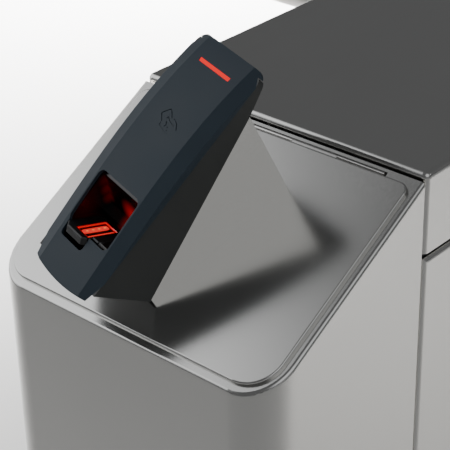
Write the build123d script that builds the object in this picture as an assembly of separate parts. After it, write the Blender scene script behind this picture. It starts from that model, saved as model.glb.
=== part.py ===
"""Waist-high access gate: a stainless box cabinet with a tripod arm and a fingerprint and card reader.

Frame: millimetres, +Z up. The origin is the centre of the base plate's underside, on the floor.
+Y runs along the cabinet, from the reader end to the far end. The lane is on the -X side.
"""

import os
from math import cos, radians, sin, tan

from build123d import *

# ---- cabinet ----
cabinet_length = 1440.0
cabinet_width = 260.0
cabinet_height = 1010.0
sheet = 2.0
base_thickness = 8.0
anchor_spacing_x = 170.0
anchor_spacing_y = 1180.0
anchor_hole_r = 7.0
cable_opening = (110.0, 160.0)
cable_opening_y = 300.0

# ---- end pylons and their sloping tops ----
pylon_depth = 165.0
pylon_corner_r = 32.0
slope_angle = 29.4
cover_step = 5.0
pylon_flange = 20.0
pylon_top_bend_r = 3.0

# ---- main section: cover and side panels ----
cover_gap = 2.6
cover_skirt = 62.5
cover_bend_r = 5.0
panel_gap = 3.9
panel_inset = 1.2
panel_return = 8.0
panel_bend_r = 4.0

# ---- lid on each slope ----
lid_margin = 6.5
lid_rise = 3.0
lid_sheet = 1.5
lid_rear_corner_r = 8.0
lid_ledge = 15.5
seal_width = 6.0
seal_gap = 0.2
hinge_r = 1.5
hinge_pin_r = 0.75
hinge_length = 200.0
hinge_knuckles = 5
hinge_clearance = 0.4
leaf_thickness = 1.2
leaf_reach = 24.0
running_clearance = 0.05

# ---- frame of square tube ----
tube = 20.0
tube_wall = 2.0
frame_half_x = cabinet_width / 2 - tube
end_post_y = cabinet_length / 2 - pylon_depth - 20.0
mid_post_y = 154.0
rail_top_z = cabinet_height - sheet
end_bar_top_z = cabinet_height - 50.0
mid_bar_top_z = cabinet_height - 150.0
boss_r = 6.0
screw_r = 2.5
screw_head_r = 4.8
screw_head_h = 2.6
panel_screw_heights = (60.0, 520.0)

# ---- tripod ----
hub_stand_off = 55.0
hub_drop = 175.0
hub_centre = (-cabinet_width / 2 - hub_stand_off, 0.0, cabinet_height - hub_drop)
arm_count = 3
arm_angle = 135.0
arm_r = 19.0
arm_wall = 1.7
arm_reach = 500.0
arm_root = 40.0
arm_cap = 6.0
arm_plug = 16.0
hub_r = 50.0
hub_front = -36.0
hub_face_r = 22.0
hub_shoulder = -6.0
hub_cap_r = 13.7
hub_cap_h = 6.0
hub_back = 18.0
boss_wall = 5.0
arm_screw_r = 3.0
arm_screw_reach = 60.0
boss_reach = 70.0
shaft_r = 10.0
shaft_end = 192.0
bearing_r = 21.0
bearing_width = 12.0
nose_r = 27.0
nose_start = 36.0
plate_start = 122.0
plate_thickness = 4.0
plate_margin = 6.0
foot_length = 79.0
housing_r = 40.0
housing_end = 166.0
panel_hole_clearance = 4.0
disc_r = 38.0
disc_start = 170.0
disc_thickness = 8.0
notch_depth = 7.0
notch_width = 13.0
notch_count = 6
first_notch = 30.0
pawl_pivot = (53.0, -12.0)
pawl_pin_r = 4.0
pawl_lift = 1.3
pawl_tooth = 9.0
pawl_tooth_r = 4.0
pawl_boss_r = 8.0
solenoid_x = (72.0, 108.0)
plunger_y = -32.0
plunger_r = 5.0

# ---- locks ----
lock_barrel_r = 9.0
lock_face = 1.6
lock_plug_r = 6.0
lock_depth = 31.0
cam_thickness = 2.0
cam_length = 20.0
cam_width = 10.0
keeper_near = 11.0
keeper_far = 27.0
keeper_drop = 7.0
keeper_width = 9.0
keeper_sheet = 2.0
lid_lock_s = 55.0
lid_lock_n = -22.0
cover_lock_y = 330.0
cover_lock_z = cabinet_height - 105.0

# ---- reader and its wedge bracket ----
bracket_x = -118.3
bracket_s = 30.5
bracket_yaw = 14.5
bracket_length = 122.0
bracket_width = 69.0
bracket_toe = 5.0
bracket_angle = 30.2
reader_width = 71.5
reader_base_inset = 1.0
reader_wall = 2.4
reader_foot = (-1.4, 4.2)
reader_profile = ((0.0, 0.0), (141.4, 0.0), (166.6, 2.6), (168.2, 7.5), (-3.7, 49.9))
seam_start = (-2.2, 49.5)
taper_angle = 13.86
cover_profile = ((-11.2, 1.6), (45.0, 6.6), (105.0, 9.2), (152.0, 6.2), (179.8, 1.2))
cover_chamfer = (3.4, 11.0)
cover_lip_y = 175.9
cover_lip_depth = 3.0
cover_bow = 4.7
cover_top_r = 9.0
cover_foot_r = 4.0
slot_width = 47.0
slot_span = (25.0, 66.0)
slot_corner_r = 5.0
head_offset = -4.2
head_width = 34.0
head_thickness = 5.5
head_view = 6.0
head_notch = (-21.7, 4.3, 17.2)
window_width = 14.4
window_length = 23.4
status_light_y = 163.3
status_light_size = (33.0, 2.6)
fit = 0.3

# ---- electronics in the cabinet ----
tray_z = (350.0, 650.0)
board_size = (180.0, 140.0)
board_stand_off = 8.0
board_thickness = 1.6
supply_size = (38.0, 110.0, 140.0)
vent_pitch = 13.0
relay_pitch = 26.0
vent_height = 5.0

half_l = cabinet_length / 2
half_w = cabinet_width / 2
pylon_rear_h = cabinet_height - cover_step
pylon_rear_y = -half_l + pylon_depth
slope_rise = pylon_depth * tan(radians(slope_angle))
pylon_front_h = pylon_rear_h - slope_rise
slope_length = pylon_depth / cos(radians(slope_angle))
lid_end = slope_length - lid_margin
hinge_s = lid_end + hinge_r + hinge_clearance
main_half_l = -pylon_rear_y - cover_gap
skirt_bottom = cabinet_height - cover_skirt
panel_top = skirt_bottom - panel_gap
panel_half_l = main_half_l - panel_inset
post_face = frame_half_x + tube / 2
lock_inner_x = -half_w + lock_depth
disc_mid = disc_start + disc_thickness / 2

slope_loc = Location((0, -half_l, pylon_front_h), (slope_angle, 0, 0))
rotor_loc = Plane(origin=hub_centre, x_dir=(0, 1, 0), z_dir=(1, 0, 1)).location
bracket_loc = slope_loc * Location((half_w + bracket_x, bracket_s, lid_rise), (0, 0, -bracket_yaw))
mount_loc = bracket_loc * Location((-reader_width / 2, *reader_foot), (bracket_angle, 0, 0))
face_loc = mount_loc * Location((0, *seam_start), (-taper_angle, 0, 0))


# ---- helpers ----
def block(x0, x1, y0, y1, z0, z1):
    """A box between two corners."""
    return Pos((x0 + x1) / 2, (y0 + y1) / 2, (z0 + z1) / 2) * Box(x1 - x0, y1 - y0, z1 - z0)


def rod(radius, start, end, direction="z"):
    """A cylinder along one axis, from start to end."""
    turn = {"x": (0, 90, 0), "y": (-90, 0, 0), "z": (0, 0, 0)}[direction]
    return Location((0, 0, 0), turn) * Pos(0, 0, (start + end) / 2) * Cylinder(radius, end - start)


def side_prism(points, x0, x1):
    """A polygon in Y and Z, carried along X."""
    face = Plane.YZ * make_face(Polyline(*points, close=True))
    return Pos(x0, 0, 0) * extrude(face, x1 - x0, dir=(1, 0, 0))


def rear(shape):
    """The same piece at the far end of the cabinet."""
    return mirror(shape, about=Plane.XZ)


def both_ends(shape):
    """A piece and its twin at the far end."""
    return [shape, rear(shape)]


def save(name, shapes):
    """Writes one node, as one solid or a group of separate solids."""
    solids = []
    for item in shapes if isinstance(shapes, list) else [shapes]:
        solids += item.solids()
    whole = solids[0] if len(solids) == 1 else Compound(children=solids)
    export_step(whole, os.path.join("parts", name + ".step"))


# ---- base and frame ----
def plan(depth, width, corner_r, inset=0.0):
    """A pylon's plan: a rectangle with two rounded outer corners, its inner end at Y = 0."""
    face = Pos(0, -depth / 2) * Rectangle(width, depth)
    outer = face.vertices().sort_by(Axis.Y)[:2]
    return fillet(outer, corner_r - inset)


def base_plate():
    """The floor plate, with anchor holes and an opening for cables."""
    face = fillet(Rectangle(cabinet_width, cabinet_length).vertices(), pylon_corner_r)
    plate = extrude(face, base_thickness)
    for loc in GridLocations(anchor_spacing_x, anchor_spacing_y, 2, 2):
        plate -= loc * rod(anchor_hole_r, 0, base_thickness)
    opening = Pos(0, cable_opening_y) * RectangleRounded(*cable_opening, 8)
    return plate - extrude(opening, base_thickness)


def square_tube(length):
    """A hollow square tube along Z."""
    inner = tube - 2 * tube_wall
    return Pos(0, 0, length / 2) * (Box(tube, tube, length) - Box(inner, inner, length))


def frame_posts():
    """Eight uprights, each with two bosses that carry a side panel."""
    posts = []
    length = rail_top_z - tube - base_thickness
    for x in (-frame_half_x, frame_half_x):
        side = 1 if x > 0 else -1
        for y in (-end_post_y, -mid_post_y, mid_post_y, end_post_y):
            post = Pos(x, y, base_thickness) * square_tube(length)
            for z in panel_screw_heights:
                ends = sorted((side * post_face, side * (half_w - sheet)))
                post += Pos(0, y, z) * rod(boss_r, *ends, "x")
                bore = sorted((side * (post_face - tube_wall), side * half_w))
                post -= Pos(0, y, z) * rod(screw_r + running_clearance, *bore, "x")
            posts.append(post)
    return posts


def panel_screws():
    """Button-head screws that hold both side panels to the posts."""
    screws = []
    for side in (-1, 1):
        for y in (-end_post_y, -mid_post_y, mid_post_y, end_post_y):
            for z in panel_screw_heights:
                shank = rod(screw_r, *sorted((side * (post_face - 1), side * half_w)), "x")
                head_span = sorted((side * half_w, side * (half_w + screw_head_h)))
                screws.append(Pos(0, y, z) * (shank + rod(screw_head_r, *head_span, "x")))
    return screws


def frame_top_rails():
    """Two long tubes that lie on the posts."""
    length = 2 * end_post_y + tube
    rail = Location((0, -length / 2, rail_top_z - tube / 2), (-90, 0, 0)) * square_tube(length)
    return [Pos(x, 0, 0) * rail for x in (-frame_half_x, frame_half_x)]


def frame_cross_bars():
    """Four tubes across the cabinet, between facing posts."""
    length = 2 * frame_half_x - tube
    bar = Location((-length / 2, 0, -tube / 2), (0, 90, 0)) * square_tube(length)
    places = ((end_post_y, end_bar_top_z), (mid_post_y, mid_bar_top_z))
    return [Pos(0, side * y, z) * bar for y, z in places for side in (-1, 1)]


# ---- end pylon: shell, lid, hinge, lock ----
def slope_body(drop, inset, rear_y, floor_z):
    """The solid under a plane that lies drop below the slope, inside the pylon's plan."""
    lower = drop / cos(radians(slope_angle))
    front = -half_l + inset
    rise = tan(radians(slope_angle))
    top_front = pylon_front_h + inset * rise - lower
    top_rear = pylon_front_h + (rear_y + half_l) * rise - lower
    points = ((front, floor_z), (front, top_front), (rear_y, top_rear), (rear_y, floor_z))
    width = cabinet_width - 2 * inset
    prism = side_prism(points, -width / 2, width / 2)
    flat = Pos(0, rear_y) * plan(rear_y - front, width, pylon_corner_r, inset)
    return prism & extrude(flat, cabinet_height)


def lid_outline(offset):
    """The lid's outline on the slope, grown by offset. The front corners follow the pylon's."""
    width = cabinet_width - 2 * (lid_margin - offset)
    depth = lid_end - lid_margin + 2 * offset
    face = Pos(0, lid_margin - offset + depth / 2) * Rectangle(width, depth)
    ordered = face.vertices().sort_by(Axis.Y)
    face = fillet(ordered[:2], pylon_corner_r - lid_margin + offset)
    return fillet(face.vertices().sort_by(Axis.Y)[-2:], max(lid_rear_corner_r + offset, lid_sheet + 0.5))


def lid_opening():
    """The hole in the slope: the lid's outline less its ledge, and a bay for the hinge."""
    hole = extrude(lid_outline(-lid_ledge), 40, both=True)
    bay_end = slope_length - sheet / cos(radians(slope_angle))
    bay = block(-hinge_length / 2 - 1, hinge_length / 2 + 1, lid_end - 40, bay_end, -6, 8)
    return slope_loc * (hole + bay)


def pylon_shell():
    """A folded end shell: rounded outer corners, a sloping top with a ledge, an open inner end."""
    shell = slope_body(0, 0, pylon_rear_y, base_thickness)
    on_slope = shell.edges().filter_by(lambda edge: edge.center().Z > pylon_front_h - 1)
    front_edges = on_slope.filter_by(lambda edge: edge.center().Y < pylon_rear_y - 1)
    shell = fillet(front_edges, pylon_top_bend_r)
    hollow = slope_body(sheet, sheet, pylon_rear_y - sheet, 0)
    shell -= hollow
    window = half_w - pylon_flange
    shell -= block(-window, window, pylon_rear_y - 5, pylon_rear_y + 5, 0, pylon_rear_h - pylon_flange)
    shell -= lid_opening()
    lock = slope_loc * Pos(0, lid_lock_s, lid_lock_n)
    return shell - lock * rod(lock_barrel_r - 1 + running_clearance, -half_w - 5, -half_w + 5, "x")


def lid_panel():
    """A shallow pan with turned edges that lies on the ledge. Its rear edge is open for the leaf."""
    pan = extrude(lid_outline(0), lid_rise)
    pan = fillet(pan.faces().sort_by(Axis.Z)[-1].edges(), lid_sheet - 0.1)
    hollow = extrude(lid_outline(-lid_sheet), lid_rise - lid_sheet)
    hollow += block(-110, 110, lid_end - 10, lid_end + 1, 0, lid_rise - lid_sheet)
    return pan - hollow


def cable_hole_loc():
    """Where the reader's cable passes through the lid, under the wedge."""
    return bracket_loc * Pos(-bracket_width / 2 - 1, bracket_length * 0.62, 0)


def front_lid_panel():
    """The reader end's lid, with a hole for the reader's cable, in the shared frame."""
    hole = cable_hole_loc() * rod(9, -lid_rise - 1, 1)
    return slope_loc * lid_panel() - hole


def lid_seal():
    """A foam seal on the ledge, inside the lid's turned edges."""
    outer = lid_outline(-lid_sheet - 2)
    ring = extrude(outer - lid_outline(-lid_sheet - 2 - seal_width), lid_rise - lid_sheet - seal_gap)
    bay = block(-hinge_length / 2 - 4, hinge_length / 2 + 4, lid_end - 32, lid_end + 5, -1, 5)
    return slope_loc * (ring - bay)


def knuckle_spans(moving):
    """The stretches along X of the fixed or the moving hinge knuckles."""
    step = hinge_length / hinge_knuckles
    first = 1 if moving else 0
    starts = [-hinge_length / 2 + i * step for i in range(first, hinge_knuckles, 2)]
    return [(x + running_clearance * 4, x + step - running_clearance * 4) for x in starts]


def knuckle(span):
    """One hinge knuckle on the hinge axis, bored for the pin."""
    ring = rod(hinge_r, *span, "x") - rod(hinge_pin_r + running_clearance, *span, "x")
    return slope_loc * Pos(0, hinge_s, 0) * ring


def hinge_base():
    """The fixed leaf: an upright strip on the pylon's rear wall, with three knuckles."""
    centre = slope_loc * Pos(0, hinge_s, 0)
    axis_y, axis_z = centre.position.Y, centre.position.Z
    back = pylon_rear_y - sheet
    bore = centre * rod(hinge_r, -half_w, half_w, "x")
    strip = None
    for span in knuckle_spans(False):
        leaf = block(*span, back - leaf_thickness, back, axis_z - 14, axis_z)
        tongue = block(*span, axis_y, back, axis_z - hinge_r, axis_z)
        piece = (leaf + tongue - bore) + knuckle(span)
        strip = piece if strip is None else strip + piece
    foot = block(-hinge_length / 2, hinge_length / 2, back - leaf_thickness, back, axis_z - 16, axis_z - 8)
    return strip + foot


def hinge_leaf():
    """The moving leaf: a strip under the lid, with two knuckles."""
    low = lid_rise - lid_sheet - leaf_thickness
    high = lid_rise - lid_sheet
    clear = hinge_s - hinge_r - 3 * hinge_clearance
    strip = slope_loc * block(-hinge_length / 2, hinge_length / 2, clear - leaf_reach, clear, low, high)
    axis = slope_loc * Pos(0, hinge_s, 0) * rod(hinge_pin_r + running_clearance, -half_w, half_w, "x")
    for span in knuckle_spans(True):
        arm = slope_loc * block(*span, clear - 1, hinge_s, low, high)
        strip += knuckle(span) + (arm - axis)
    return strip


def hinge_pin():
    """The hinge's steel pin."""
    return slope_loc * Pos(0, hinge_s, 0) * rod(hinge_pin_r, -hinge_length / 2, hinge_length / 2, "x")


def keeper(top):
    """An angle beside a lock, from a lip under the turned cam up to top, in the lock's own frame."""
    outer = lock_inner_x + fit
    inner = outer + keeper_width
    low = -keeper_drop - keeper_sheet
    upright = block(inner - keeper_sheet, inner, keeper_near, keeper_far, low, top)
    return upright + block(outer, inner, keeper_near, keeper_far, low, -keeper_drop)


def lid_keeper():
    """A bracket under the lid with a lip that the lock's cam closes over."""
    return slope_loc * Pos(0, lid_lock_s, lid_lock_n) * keeper(lid_rise - lid_sheet - lid_lock_n)


def lock_barrel():
    """A cam lock's barrel on the X axis: a rim outside the wall, a body and a nut inside."""
    rim = rod(lock_barrel_r + 1, -half_w - lock_face, -half_w, "x")
    body = rod(lock_barrel_r - 1, -half_w, lock_inner_x, "x")
    nut_face = Pos(-half_w + sheet, 0, 0) * Rot(0, 90, 0) * RegularPolygon(lock_barrel_r + 3, 6)
    nut = extrude(nut_face, 5, dir=(1, 0, 0)) - body
    bore = rod(lock_plug_r + running_clearance, -half_w - lock_face, lock_inner_x, "x")
    return rim + body + nut - bore


def lock_cam():
    """The turning part of a cam lock: keyed plug, upright cam arm, and the cam's screw."""
    plug = rod(lock_plug_r, -half_w - lock_face, lock_inner_x + 0.5, "x")
    slot = block(-half_w - lock_face - 1, -half_w + 6, -0.6, 0.6, -3.5, 3.5)
    x0 = lock_inner_x + 0.5
    arm = block(x0, x0 + cam_thickness, -cam_width / 2, cam_width / 2, 0, cam_length)
    arm += rod(cam_width / 2 + 1.5, x0, x0 + cam_thickness, "x")
    screw = rod(3.6, x0 + cam_thickness, x0 + cam_thickness + 2, "x")
    return plug - slot + arm + screw


def lid_lock(shape):
    """A lock piece in the pylon's lane-side wall."""
    return slope_loc * Pos(0, lid_lock_s, lid_lock_n) * shape


def cover_lock(shape, side):
    """A lock piece in the lane-side panel, under the cover's skirt."""
    return Pos(0, side * cover_lock_y, cover_lock_z) * shape


# ---- main section ----
def top_cover():
    """The main section's cover: a deep pan with folded edges."""
    outer = block(-half_w, half_w, -main_half_l, main_half_l, skirt_bottom, cabinet_height)
    outer = fillet(outer.edges().filter_by(Axis.Z), cover_bend_r)
    outer = fillet(outer.faces().sort_by(Axis.Z)[-1].edges(), cover_bend_r - 0.5)
    w, y = half_w - sheet, main_half_l - sheet
    inner = block(-w, w, -y, y, skirt_bottom - 1, cabinet_height - sheet)
    inner = fillet(inner.edges().filter_by(Axis.Z), cover_bend_r - sheet)
    inner = fillet(inner.faces().sort_by(Axis.Z)[-1].edges(), cover_bend_r - sheet - 0.6)
    return outer - inner


def cover_keepers():
    """Two brackets inside the cover, each with a lip under a lock's cam."""
    return [cover_lock(keeper(cabinet_height - sheet - cover_lock_z), side) for side in (-1, 1)]


def side_panel():
    """A lane-side or walk-side panel: a shallow tray with turned edges."""
    inner_x = half_w - panel_return
    outer = block(inner_x, half_w, -panel_half_l, panel_half_l, base_thickness, panel_top)
    outer = fillet(outer.faces().sort_by(Axis.X)[-1].edges(), panel_bend_r)
    y = panel_half_l - sheet
    hollow = block(inner_x - 1, half_w - sheet, -y, y, base_thickness + sheet, panel_top - sheet)
    hollow = fillet(hollow.faces().sort_by(Axis.X)[-1].edges(), panel_bend_r - sheet)
    panel = outer - hollow
    for y in (-end_post_y, -mid_post_y, mid_post_y, end_post_y):
        for z in panel_screw_heights:
            panel -= Pos(0, y, z) * rod(screw_r + running_clearance, half_w - 5, half_w + 1, "x")
    return panel


def left_side_panel():
    """The lane-side panel, with openings for the tripod's nose and two locks."""
    panel = mirror(side_panel(), about=Plane.YZ)
    panel -= rotor_loc * rod(nose_r + panel_hole_clearance, 20, 110)
    for side in (-1, 1):
        hole = rod(lock_barrel_r - 1 + running_clearance, -half_w - 5, -half_w + 5, "x")
        panel -= cover_lock(hole, side)
    return panel


# ---- tripod mechanism, on the tilted axis: local Z runs inwards and up, local X along +Y ----
def arm_loc(index):
    """The frame of one arm: its Z runs out along the arm."""
    return rotor_loc * Rot(0, 0, 360 / arm_count * index) * Rot(-arm_angle, 0, 0)


def tripod_hub():
    """The cast hub: a round body with three arm sockets, bored for the shaft."""
    points = ((0, hub_front), (hub_face_r, hub_front), (hub_r, hub_shoulder))
    points += ((hub_r, hub_back), (0, hub_back))
    hub = rotor_loc * revolve(Plane.XZ * make_face(Polyline(*points, close=True)), Axis.Z)
    for index in range(arm_count):
        hub += arm_loc(index) * rod(arm_r + boss_wall, 12, boss_reach)
    for index in range(arm_count):
        hub -= arm_loc(index) * rod(arm_r + running_clearance, arm_root, boss_reach + 1)
        screw_hole = rod(arm_screw_r + running_clearance, arm_r - 1, arm_r + boss_wall + 1, "x")
        hub -= arm_loc(index) * Pos(0, 0, arm_screw_reach) * screw_hole
    hub -= rotor_loc * rod(hub_cap_r + fit, hub_front - 40, hub_front)
    return hub - rotor_loc * rod(shaft_r + running_clearance, hub_front - 1, hub_back)


def arm(index):
    """One tubular arm."""
    end = arm_reach - arm_cap
    return arm_loc(index) * (rod(arm_r, arm_root, end) - rod(arm_r - arm_wall, arm_root, end))


def arm_tip_caps():
    """A plastic plug in each arm's open end."""
    caps = []
    for index in range(arm_count):
        end = arm_reach - arm_cap
        plug = rod(arm_r - arm_wall - 0.1, end - arm_plug, end)
        dome = rod(arm_r, end, arm_reach)
        dome = fillet(dome.faces().sort_by(Axis.Z)[-1].edges(), 4)
        caps.append(arm_loc(index) * (plug + dome))
    return caps


def hub_cap():
    """The round cap on the hub's outer face."""
    cap = rod(hub_cap_r, hub_front - hub_cap_h, hub_front)
    cap = fillet(cap.faces().sort_by(Axis.Z)[0].edges(), hub_cap_h / 2)
    return rotor_loc * cap


def arm_screws():
    """A screw through each socket's wall that clamps its arm."""
    start = arm_r + running_clearance
    screw = rod(arm_screw_r, start, arm_r + boss_wall, "x")
    screw += rod(arm_screw_r + 2, arm_r + boss_wall, arm_r + boss_wall + 3, "x")
    return [arm_loc(index) * Pos(0, 0, arm_screw_reach) * screw for index in range(arm_count)]


def tripod_shaft():
    """The shaft from the hub to the index disc."""
    shaft = rod(shaft_r, hub_front + 0.2, shaft_end)
    shaft += rod(shaft_r + 4, hub_back, nose_start - 0.5)
    return rotor_loc * chamfer(shaft.faces().sort_by(Axis.Z)[-1].edges(), 1)


def mechanism_housing():
    """The bearing housing: a nose through the side panel and a drum behind the plate."""
    plate_end = plate_start + plate_thickness
    body = rod(nose_r, nose_start, plate_end) + rod(housing_r, plate_end, housing_end)
    body -= rod(shaft_r + 4, nose_start, housing_end)
    for start in bearing_starts():
        body -= rod(bearing_r + running_clearance, start, start + bearing_width)
    body -= rod(bearing_r + running_clearance, nose_start, nose_start + 2)
    body -= rod(bearing_r + running_clearance, housing_end - 2, housing_end)
    return rotor_loc * body


def bearing_starts():
    """Where the two bearings begin along the axis."""
    return (nose_start + 2, housing_end - 2 - bearing_width)


def shaft_bearings():
    """Two ball bearings, as rings."""
    pieces = []
    for start in bearing_starts():
        ring = rod(bearing_r, start, start + bearing_width)
        ring -= rod(shaft_r + running_clearance, start, start + bearing_width)
        groove = rod(bearing_r - 3, start, start + 1) - rod(shaft_r + 3, start, start + 1)
        pieces.append(rotor_loc * (ring - groove))
    return pieces


def mechanism_bracket():
    """The tilted plate that carries the housing, its two cheeks and feet, and the pawls' pins."""
    half_y = mid_post_y - tube / 2 - plate_margin
    plate = Pos(0, -14, plate_start + plate_thickness / 2) * Box(2 * half_y, 92, plate_thickness)
    plate -= rod(nose_r + running_clearance, plate_start - 1, plate_start + plate_thickness + 1)
    for side in (-1, 1):
        x, y = side * pawl_pivot[0], pawl_pivot[1]
        plate += Pos(x, y) * rod(pawl_pin_r + 2, plate_start + 1, disc_start - fit)
        plate += Pos(x, y) * rod(pawl_pin_r, disc_start - 1, disc_start + disc_thickness + 3)
    bracket = rotor_loc * plate
    foot_z = mid_bar_top_z
    left = -frame_half_x + tube / 2 + 1
    toe, knee, brow = left + foot_length, left + foot_length - 33, left + 4
    points = ((left, foot_z), (toe, foot_z), (toe, foot_z + 10), (knee, foot_z + 24))
    points += ((brow, foot_z + 61), (left, foot_z + 56))
    cheek = extrude(Plane.XZ * make_face(Polyline(*points, close=True)), plate_thickness)
    for side in (-1, 1):
        y = side * half_y + (plate_thickness if side > 0 else 0)
        bracket += Pos(0, y, 0) * cheek
        near, far = sorted((side * half_y, side * (mid_post_y + tube / 2 - 2)))
        bracket += block(left, toe, near, far, foot_z, foot_z + plate_thickness)
    return bracket


def index_disc():
    """The locking disc on the shaft: notches in its rim for the arms' rest places and the places halfway."""
    disc = rod(disc_r, disc_start, disc_start + disc_thickness) + rod(16, disc_start + 1, shaft_end - 4)
    for index in range(notch_count):
        notch = Pos(disc_r, 0, disc_mid) * Box(2 * notch_depth, notch_width, 2 * disc_thickness)
        disc -= Rot(0, 0, first_notch + 360 / notch_count * index) * notch
    return rotor_loc * (disc - rod(shaft_r + running_clearance, disc_start - 1, shaft_end))


def pawl(side):
    """A pawl on its pin: a tooth that swings into a notch, and a tail for the plunger."""
    px, py = pawl_pivot
    reach = radians(first_notch)
    tip_r = disc_r + pawl_lift
    root_r = tip_r + pawl_tooth
    tip = (tip_r * cos(reach), tip_r * sin(reach))
    root = (root_r * cos(reach), root_r * sin(reach))
    root_circle = Pos(*root) * Circle(pawl_tooth_r)
    tooth = make_hull([*Line(tip, root).edges(), *root_circle.edges()])
    lever = make_hull([*root_circle.edges(), *(Pos(px, py) * Circle(pawl_boss_r)).edges()])
    tail = Pos(px + 2, (py + plunger_y) / 2 - 3) * Rectangle(6, py - plunger_y + 12)
    body = extrude(tooth + lever + tail, disc_thickness)
    body = Pos(0, 0, disc_start) * body
    body -= Pos(px, py) * rod(pawl_pin_r + running_clearance, disc_start - 1, disc_start + disc_thickness + 1)
    body = body if side > 0 else mirror(body, about=Plane.YZ)
    return rotor_loc * body


def plunger(side):
    """A solenoid's plunger, with a slot near its end that holds the pawl's tail."""
    tail_x = pawl_pivot[0] + 2
    body = rod(plunger_r, tail_x - 9, solenoid_x[0] + 20, "x")
    body -= Pos(tail_x, 0, 0) * Box(8, 4 * plunger_r, disc_thickness + 1)
    cheek = disc_thickness / 2 + 0.5
    body += block(tail_x - 9, tail_x + 9, -plunger_r, plunger_r, cheek, cheek + 2.5)
    body = Pos(0, plunger_y, disc_mid) * body
    body = body if side > 0 else mirror(body, about=Plane.YZ)
    return rotor_loc * body


def solenoids():
    """Two solenoids that stand on the tilted plate, each bored for its plunger."""
    foot = plate_start + plate_thickness
    body = block(*solenoid_x, plunger_y - 14, plunger_y + 14, foot, disc_mid + 14)
    bore = Pos(0, plunger_y, disc_mid) * rod(plunger_r + 0.3, solenoid_x[0], solenoid_x[0] + 26, "x")
    body -= bore
    return [rotor_loc * body, rotor_loc * mirror(body, about=Plane.YZ)]


# ---- electronics ----
def control_tray():
    """A sheet tray on two walk-side posts, with four stand-offs for the board."""
    x = frame_half_x - tube / 2
    tray = block(x - sheet, x, -end_post_y - tube / 2, -mid_post_y + tube / 2, *tray_z)
    for y, z in board_corners():
        tray += Pos(0, y, z) * rod(3, x - sheet - board_stand_off, x - sheet, "x")
    return tray


def board_corners():
    """The board's four stand-off places, as Y and Z."""
    mid_y, mid_z = -mid_post_y - 30 - board_size[0] / 2, sum(tray_z) / 2
    dy, dz = board_size[0] / 2 - 6, board_size[1] / 2 - 6
    return [(mid_y + sy * dy, mid_z + sz * dz) for sy in (-1, 1) for sz in (-1, 1)]


def control_board():
    """The control board, with relays, terminals and a capacitor."""
    x = frame_half_x - tube / 2 - sheet - board_stand_off
    corners = board_corners()
    y0, y1 = corners[0][0] - 6, corners[-1][0] + 6
    z0, z1 = corners[0][1] - 6, corners[-1][1] + 6
    face = x - board_thickness
    board = block(face, x, y0, y1, z0, z1)
    for i in range(6):
        y = y0 + 14 + relay_pitch * i
        board += block(x - 14, face, y, y + 18, z1 - 26, z1 - 8)
    board += block(x - 11, face, y0 + 12, y1 - 12, z0 + 6, z0 + 18)
    return board + Pos(0, y0 + 40, z0 + 60) * rod(9, x - 22, face, "x")


def power_supply():
    """A boxed power supply with a row of vents."""
    depth, width, height = supply_size
    x = frame_half_x - tube / 2 - sheet
    y0 = -end_post_y + tube
    z0 = sum(tray_z) / 2 - height / 2
    box = block(x - depth, x, y0, y0 + width, z0, z0 + height)
    for i in range(8):
        z = z0 + 22 + vent_pitch * i
        box -= block(x - depth - 1, x - depth + 1.5, y0 + 12, y0 + width - 12, z, z + vent_height)
    return box


# ---- wedge bracket and reader ----
def reader_bracket():
    """A folded wedge on the lid: two triangular cheeks, a back and a sloping mounting plate."""
    rise = tan(radians(bracket_angle))
    top = bracket_toe + bracket_length * rise
    points = ((0, 0), (0, bracket_toe), (bracket_length, top), (bracket_length, 0))
    margin = (reader_width - bracket_width) / 2
    wedge = side_prism(points, -bracket_width - margin, -margin)
    drop = sheet / cos(radians(bracket_angle))
    start, end = 6.0, bracket_length - sheet
    low, high = (bracket_toe + y * rise - drop for y in (start, end))
    inner = ((start, -1), (start, low), (end, high), (end, -1))
    wedge -= side_prism(inner, -bracket_width - margin + sheet, -margin - sheet)
    wedge = bracket_loc * wedge
    for loc in reader_screw_locs():
        wedge -= loc * rod(2.1, -sheet - 2, 1)
    return wedge - reader_cable_hole()


def reader_cable_hole():
    """The cable's way from the reader into the wedge."""
    return mount_loc * Pos(0, 70, 0) * rod(8, -6, 8)


def reader_screw_locs():
    """Four screw places on the wedge's sloping plate."""
    return [mount_loc * Pos(x, y, 0) for x in (-22, 22) for y in (30, 118)]


def reader_screws():
    """Four screws that clamp the reader's back to the wedge."""
    head_z = reader_wall
    screw = rod(2.0, -sheet - 4, head_z) + rod(3.8, head_z, head_z + 2.4)
    return [loc * screw for loc in reader_screw_locs()]


def reader_base():
    """The reader's rear housing: a tapered tray that the front cover closes."""
    half = reader_width / 2 - reader_base_inset
    outer = mount_loc * side_prism(reader_profile, -half, half) & face_loc * outline_column(reader_base_inset)
    wall = reader_wall
    slant = tan(radians(taper_angle))
    inner_top = 53 - 160 * slant
    inner = ((1, wall), (141, wall), (164.8, 4.9), (164.8, inner_top + 6), (1.5, 60))
    base = outer - mount_loc * side_prism(inner, -half + wall, half - wall)
    for side in (-1, 1):
        x0, x1 = sorted((side * (half - wall), side * (half - wall - 3)))
        base += face_loc * block(x0, x1, 74, 156, -5.6, -4.2)
    for loc in reader_screw_locs():
        base -= loc * rod(2.1, -1, wall + 1)
    base -= face_loc * block(-half - 1, half + 1, -20, 200, 0, 60)
    return base - reader_cable_hole()


def crown(depth):
    """The front cover's long profile in local Y and Z, lowered by depth, as a closed face."""
    points = [(y, z - depth) for y, z in cover_profile]
    front = Spline(*points)
    low = -cover_lip_depth
    back = Polyline(points[-1], (points[-1][0], low), (points[0][0], low), points[0])
    return Plane.YZ * make_face(front + back)


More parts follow.
